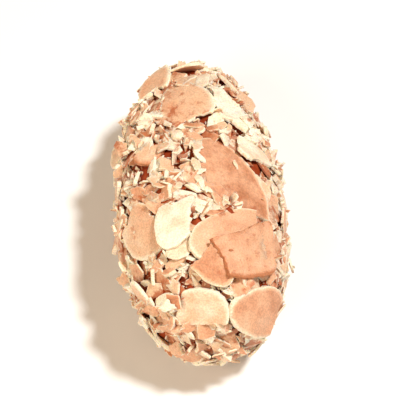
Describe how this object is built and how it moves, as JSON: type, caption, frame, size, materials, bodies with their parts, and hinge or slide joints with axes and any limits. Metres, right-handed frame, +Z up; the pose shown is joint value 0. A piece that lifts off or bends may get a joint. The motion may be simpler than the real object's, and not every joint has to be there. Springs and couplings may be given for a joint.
{
  "type": "almond truffle",
  "caption": "Oblong chocolate truffle rolled in broken flaked almonds, lying on its flat side; a sweet to serve or to fill a box with.",
  "frame": {"origin": "on the surface that the truffle lies on, under the middle of its chocolate body", "axes": "+Y along the truffle, from its fuller end to its slimmer end; +Z up; +X to the right seen from the fuller end"},
  "size_m": [0.0249, 0.0493, 0.0219],
  "materials": {
    "almond": "toasted flaked almonds, matt, cream to orange tan with brown rims",
    "chocolate": "milk chocolate coat, satin, dusted with almond crumbs"
  },
  "bodies": {
    "root": {"truffle": "almond"}
  },
  "joints": []
}
